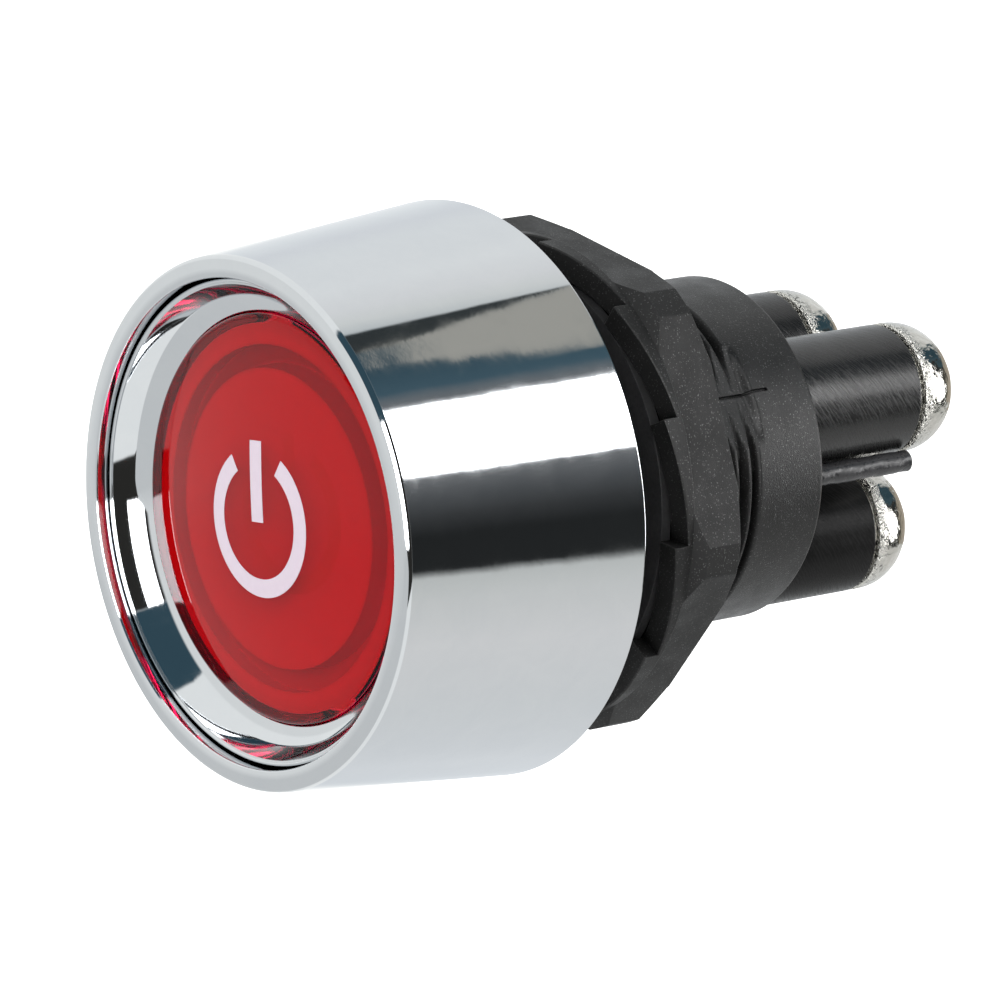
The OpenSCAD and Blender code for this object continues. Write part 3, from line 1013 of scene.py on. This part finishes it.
def finish_cad_nodes():
    """Gives each CAD node that stays its material."""
    finishes = {
        "panel_gasket": RUBBER,
        "terminal_base": BASE_BLACK,
        "led_board": BOARD,
        "led_chips": LED,
        "board_resistors": CHIP,
        "lamp_feed": BRASS,
        "contact_stud_a": BRASS,
        "contact_stud_b": BRASS,
        "lamp_stud": BRASS,
        "fixed_contacts": SILVER,
        "diffuser": MILKY,
        "carrier": NYLON,
        "contact_bridge": COPPER,
        "bridge_contacts": SILVER,
        "bridge_clip": SPRING,
        "lock_washer": STEEL_BLACK,
    }
    for name, finish in finishes.items():
        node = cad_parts[name]
        node.data.materials.clear()
        node.data.materials.append(finish)


# ---------------------------------------------------------------- stage, light and camera


def build_floor():
    """A plain pale floor below the object, which leaves its lighting to the world."""
    floor_z = (BEZEL_LOW.z - 14.0) * MM
    half = 12.0
    mesh = bpy.data.meshes.new("floor")
    square = ((-half, -half), (half, -half), (half, half), (-half, half))
    corners = [(x, y, floor_z) for x, y in square]
    mesh.from_pydata(corners, [], [(0, 1, 2, 3)])
    floor = bpy.data.objects.new("floor", mesh)
    bpy.context.scene.collection.objects.link(floor)
    s = Shader("pale_floor")
    s.set(Base_Color=shade(0.8), Roughness=0.9, Specular_IOR_Level=0.1)
    glow = s.node("ShaderNodeEmission")
    glow.inputs["Color"].default_value = shade(1.0)
    glow.inputs["Strength"].default_value = 0.6
    lit = s.node("ShaderNodeAddShader")
    s.link(s.surface.outputs[0], lit.inputs[0])
    s.link(glow.outputs[0], lit.inputs[1])
    s.link(lit.outputs[0], s.output.inputs["Surface"])
    mesh.materials.append(s.material)
    floor.visible_diffuse = False
    floor.visible_glossy = False
    floor.visible_transmission = False


def linear(value):
    """Linear light of a display level from 0 to 255."""
    level = value / 255
    return level / 12.92 if level <= 0.04045 else ((level + 0.055) / 1.055) ** 2.4


CHROME_TINT = (0.63, 0.645, 0.665)  # about the plate's own colour
SOFTBOX = 9.0  # radiance of the lamps


def seen_in_chrome(red, green, blue):
    """Radiance of a thing whose reflection in the chrome shows as a display colour."""
    tones = [linear(value) / tint for value, tint in zip((red, green, blue), CHROME_TINT)]
    return (*tones, 1.0)


CAMERA_AZIMUTH = 52.1
CAMERA_ELEVATION = 8.6
CAMERA_ROLL = -2.95
CAMERA_DISTANCE = 494.0
CAMERA_LENS = 286.2
CAMERA_TARGET = (0.2, 2.8, -1.1)
FLARE_SHARE = -0.0996  # how far forward the bezel's flare faces


def towards_camera():
    """Direction from the button to the camera."""
    azimuth, elevation = math.radians(CAMERA_AZIMUTH), math.radians(CAMERA_ELEVATION)
    return Vector(
        (
            math.sin(azimuth) * math.cos(elevation),
            -math.cos(azimuth) * math.cos(elevation),
            math.sin(elevation),
        )
    )


def room_round(s, angle):
    """What faces the sides of the button: table, dark stretch, soft box, teal board, ceiling."""
    low, high = -110.0, 110.0
    ramp = s.node("ShaderNodeValToRGB")
    stops = (
        (low, seen_in_chrome(190, 196, 202)),
        (-72.0, seen_in_chrome(188, 194, 200)),
        (-62.0, seen_in_chrome(197, 202, 207)),
        (-40.0, seen_in_chrome(195, 199, 202)),
        (-22.0, seen_in_chrome(198, 200, 202)),
        (-12.0, seen_in_chrome(189, 192, 193)),
        (-6.6, seen_in_chrome(179, 183, 183)),
        (-5.6, seen_in_chrome(34, 36, 37)),
        (2.0, seen_in_chrome(32, 34, 35)),
        (6.0, seen_in_chrome(52, 54, 56)),
        (10.0, seen_in_chrome(72, 75, 78)),
        (14.9, seen_in_chrome(102, 105, 108)),
        (15.6, shade(SOFTBOX)),
        (29.4, shade(SOFTBOX)),
        (30.1, seen_in_chrome(98, 101, 104)),
        (32.0, seen_in_chrome(92, 100, 106)),
        (33.5, seen_in_chrome(60, 82, 94)),
        (40.0, seen_in_chrome(46, 68, 80)),
        (48.8, seen_in_chrome(42, 63, 74)),
        (49.6, seen_in_chrome(177, 183, 186)),
        (52.5, seen_in_chrome(196, 200, 201)),
        (56.0, seen_in_chrome(203, 206, 209)),
        (63.0, seen_in_chrome(209, 213, 216)),
        (77.0, seen_in_chrome(203, 208, 212)),
        (84.0, seen_in_chrome(195, 200, 206)),
        (92.0, seen_in_chrome(198, 204, 209)),
        (high, seen_in_chrome(203, 207, 212)),
    )
    spots = ramp.color_ramp.elements
    spots[0].color, spots[1].color = stops[0][1], stops[-1][1]
    for at, colour in stops[1:-1]:
        spots.new((at - low) / (high - low)).color = colour
    s.link(s.remap_line(angle, low, high, 0.0, 1.0), ramp.inputs["Fac"])
    return ramp.outputs["Color"]


def room_on_flare(s, colour, angle, share):
    """Adds a pale patch in the teal, and the dark streak over it, seen in the bezel's flare."""
    along = s.remap_line(share, FLARE_SHARE, -0.082, 0.0, 1.0)
    streak_low = s.math("ADD", s.math("MULTIPLY", along, 5.2), 44.0)
    teal_top = s.math("ADD", s.math("MULTIPLY", along, -7.0), 41.2)
    patch = s.both(s.band(angle, teal_top, streak_low, 0.4), s.band(share, -0.0967, -0.076, 0.0006))
    colour = s.mix(patch, colour, seen_in_chrome(150, 150, 145))
    streak = s.both(s.band(angle, streak_low, 49.3, 0.35), s.band(share, -0.16, -0.07, 0.01))
    return s.mix(streak, colour, seen_in_chrome(45, 50, 52))


def room_behind(s, colour, angle, share):
    """Adds what the domes face behind the button: a dark stretch with a lamp, then a pale wall."""
    behind = s.both(s.remap(share, 0.015, 0.04, 0.0, 1.0), s.band(angle, -6.0, 33.0, 1.5))
    colour = s.mix(behind, colour, seen_in_chrome(40, 42, 42))
    spot = s.both(s.band(share, 0.1, 0.3, 0.02), s.band(angle, 2.0, 23.0, 1.5))
    colour = s.mix(spot, colour, shade(SOFTBOX))
    beyond = s.both(s.remap(share, 0.42, 0.5, 0.0, 1.0), s.band(angle, -6.0, 49.0, 2.0))
    return s.mix(beyond, colour, seen_in_chrome(150, 144, 134))


def room_ahead(s, colour, angle, share, height):
    """Adds what the collar's hollow face and the rim face, in front of the button."""
    dish = s.remap(share, -0.14, -0.2, 0.0, 1.0)
    colour = s.mix(dish, colour, seen_in_chrome(216, 220, 222))
    lean = s.remap_line(share, -0.1, -0.75, 0.0, 1.0)
    table_edge = s.math("ADD", s.math("MULTIPLY", lean, -8.3), -6.0)
    dark = s.both(dish, s.band(angle, table_edge, 27.6, 0.5))
    colour = s.mix(dark, colour, seen_in_chrome(38, 38, 37))
    lamp = s.both(s.band(share, -0.875, -0.52, 0.006), s.band(angle, 0.0, 27.6, 0.6))
    colour = s.mix(lamp, colour, shade(SOFTBOX))
    teal = s.both(dish, s.band(angle, 27.6, 51.0, 0.6))
    colour = s.mix(teal, colour, seen_in_chrome(46, 68, 80))
    edge = s.remap(angle, -6.0, 4.0, -0.66, -0.905)
    front = s.remap(s.math("SUBTRACT", share, edge), 0.012, -0.012, 0.0, 1.0)
    level = s.remap_line(height, -0.025, 0.025, 0.0, 1.0)
    ahead = s.mix(level, seen_in_chrome(184, 188, 191), seen_in_chrome(204, 208, 210))
    return s.mix(front, colour, ahead)


def build_world():
    """The room, laid out by the direction a surface must face to show each part of it.

    A surface that shows the camera a direction R faces half-way between R and the camera. The
    angle of that facing about the button's axis, and its share along the axis, place the pale
    ceiling, the dark and teal things beyond, the soft box, the dark stretch and the table.
    """
    world = bpy.data.worlds.new("studio")
    bpy.context.scene.world = world
    world.use_nodes = True
    s = Nodes(world.node_tree)
    total = s.node("ShaderNodeVectorMath", operation="ADD")
    s.link(s.place.outputs["Generated"], total.inputs[0])
    total.inputs[1].default_value = towards_camera()
    facing = s.node("ShaderNodeVectorMath", operation="NORMALIZE")
    s.link(total.outputs[0], facing.inputs[0])
    axis = s.parts(facing.outputs[0])
    share, height = axis["Y"], axis["Z"]
    angle = s.math("MULTIPLY", s.math("ARCTAN2", height, axis["X"]), 180 / math.pi)
    wobble = s.noise(5.0, detail=3.0, where=facing.outputs[0])
    angle = s.math("ADD", angle, s.math("MULTIPLY", s.math("SUBTRACT", wobble, 0.5), 1.2))
    slipped = s.math("ADD", angle, s.remap_line(share, FLARE_SHARE, 0.0, 0.0, 9.0))
    colour = room_round(s, slipped)
    colour = room_on_flare(s, colour, angle, share)
    colour = room_behind(s, colour, slipped, share)
    colour = room_ahead(s, colour, angle, share, height)
    plain = s.mix(s.remap(height, -0.3, 0.6, 0.0, 1.0), shade(0.75), shade(0.95))
    ray = s.node("ShaderNodeLightPath")
    colour = s.mix(ray.outputs["Is Diffuse Ray"], colour, plain)
    s.link(colour, s.nodes["Background"].inputs["Color"])


def build_camera():
    """A long lens that looks at the button from the front and its right."""
    camera = bpy.data.cameras.new("camera")
    camera.lens = CAMERA_LENS
    camera.sensor_width = 36.0
    camera.clip_start = 0.01
    camera.clip_end = 100.0
    holder = bpy.data.objects.new("camera", camera)
    bpy.context.scene.collection.objects.link(holder)
    ahead = -towards_camera()
    roll = Matrix.Rotation(math.radians(CAMERA_ROLL), 3, "Z")
    turn = ahead.to_track_quat("-Z", "Y").to_matrix() @ roll
    place = (Vector(CAMERA_TARGET) - ahead * CAMERA_DISTANCE) * MM
    holder.matrix_world = Matrix.Translation(place) @ turn.to_4x4()
    bpy.context.scene.camera = holder


build_bezel()
build_barrel()
build_barrel_front()
build_posts()
build_screws()
build_lead()
build_nut()
build_collar()
build_lens()
build_mark()
build_springs()
build_washers()
finish_cad_nodes()
build_floor()
build_world()
build_camera()
bpy.context.scene.view_settings.view_transform = "Standard"
bpy.context.scene.cycles.glossy_bounces = 12
